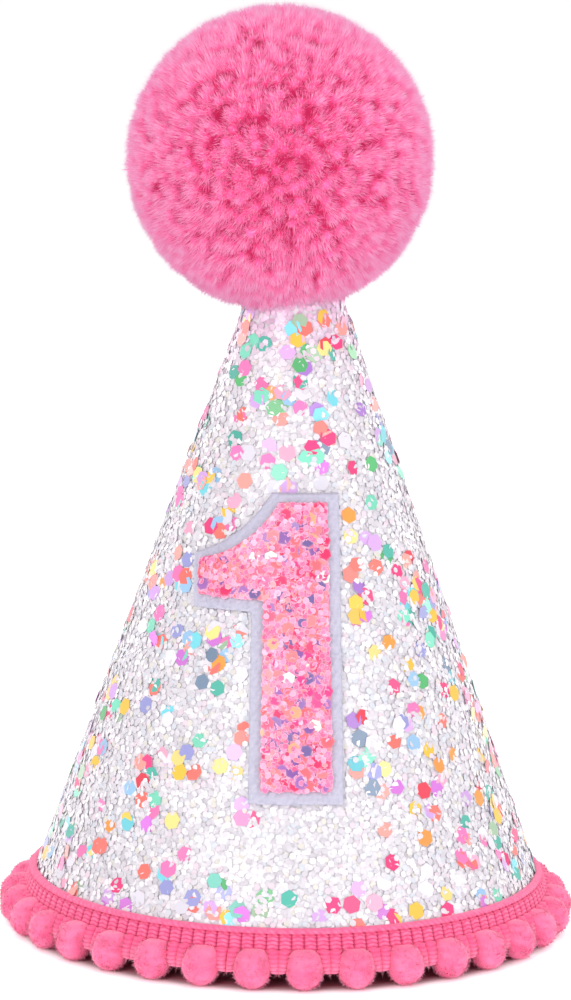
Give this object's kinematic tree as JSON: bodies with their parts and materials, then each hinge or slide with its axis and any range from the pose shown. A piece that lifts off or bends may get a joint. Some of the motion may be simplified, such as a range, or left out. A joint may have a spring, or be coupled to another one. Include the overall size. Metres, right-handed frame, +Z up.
{
  "type": "mini party hat",
  "caption": "Small glitter card cone hat with a felt numeral on the front, a ball-fringe braid round the rim and a yarn pom-pom that twists and leans on the tip.",
  "frame": {"origin": "on the ground under the middle of the rim, at the lowest points of the fringe balls", "axes": "+Z up along the axis of the cone, -Y towards the numeral on the front, +X to the right seen from the front"},
  "size_m": [0.1168, 0.1164, 0.185],
  "materials": {
    "card": "matt white card",
    "glitter_cloth": "white chunky glitter with coloured hexagons",
    "lining_felt": "thin white felt",
    "number_felt": "white felt, faintly lilac",
    "number_glitter": "pink glitter sheet",
    "braid_yarn": "matt pink knitted yarn",
    "ball_yarn": "soft pink yarn",
    "pompom_yarn": "brushed pink wool-like yarn",
    "tie_yarn": "twisted pink yarn",
    "washer_felt": "felt"
  },
  "bodies": {
    "hat": {"card_cone": "card", "glitter_cover": "glitter_cloth", "felt_lining": "lining_felt", "number_backing": "number_felt", "number_face": "number_glitter", "trim_tape": "braid_yarn", "trim_legs": "braid_yarn", "anchor_washer": "washer_felt", "trim_ball_01": "ball_yarn", "trim_ball_02": "ball_yarn", "trim_ball_03": "ball_yarn", "trim_ball_04": "ball_yarn", "trim_ball_05": "ball_yarn", "trim_ball_06": "ball_yarn", "trim_ball_07": "ball_yarn", "trim_ball_08": "ball_yarn", "trim_ball_09": "ball_yarn", "trim_ball_10": "ball_yarn", "trim_ball_11": "ball_yarn", "trim_ball_12": "ball_yarn", "trim_ball_13": "ball_yarn", "trim_ball_14": "ball_yarn", "trim_ball_15": "ball_yarn", "trim_ball_16": "ball_yarn", "trim_ball_17": "ball_yarn", "trim_ball_18": "ball_yarn", "trim_ball_19": "ball_yarn", "trim_ball_20": "ball_yarn", "trim_ball_21": "ball_yarn", "trim_ball_22": "ball_yarn", "trim_ball_23": "ball_yarn", "trim_ball_24": "ball_yarn", "trim_ball_25": "ball_yarn", "trim_ball_26": "ball_yarn", "trim_ball_27": "ball_yarn", "trim_ball_28": "ball_yarn", "trim_ball_29": "ball_yarn", "trim_ball_30": "ball_yarn", "trim_ball_31": "ball_yarn", "trim_ball_32": "ball_yarn", "trim_ball_33": "ball_yarn", "trim_ball_34": "ball_yarn"},
    "tie": {"tie_strands": "tie_yarn", "tie_knot": "tie_yarn"},
    "pompom": {"pompom": "pompom_yarn", "tie_band": "tie_yarn"}
  },
  "joints": [
    {"name": "pompom_twist", "type": "hinge", "parent": "hat", "child": "tie", "pos_m": [0, 0, 0.14445], "axis": [0, 0, 1], "range_deg": [-90, 90], "stiffness_Nm_per_rad": 0.002},
    {"name": "pompom_lean", "type": "hinge", "parent": "tie", "child": "pompom", "pos_m": [0, 0, 0.14625], "axis": [1, 0, 0], "range_deg": [-6, 6], "stiffness_Nm_per_rad": 0.05}
  ]
}
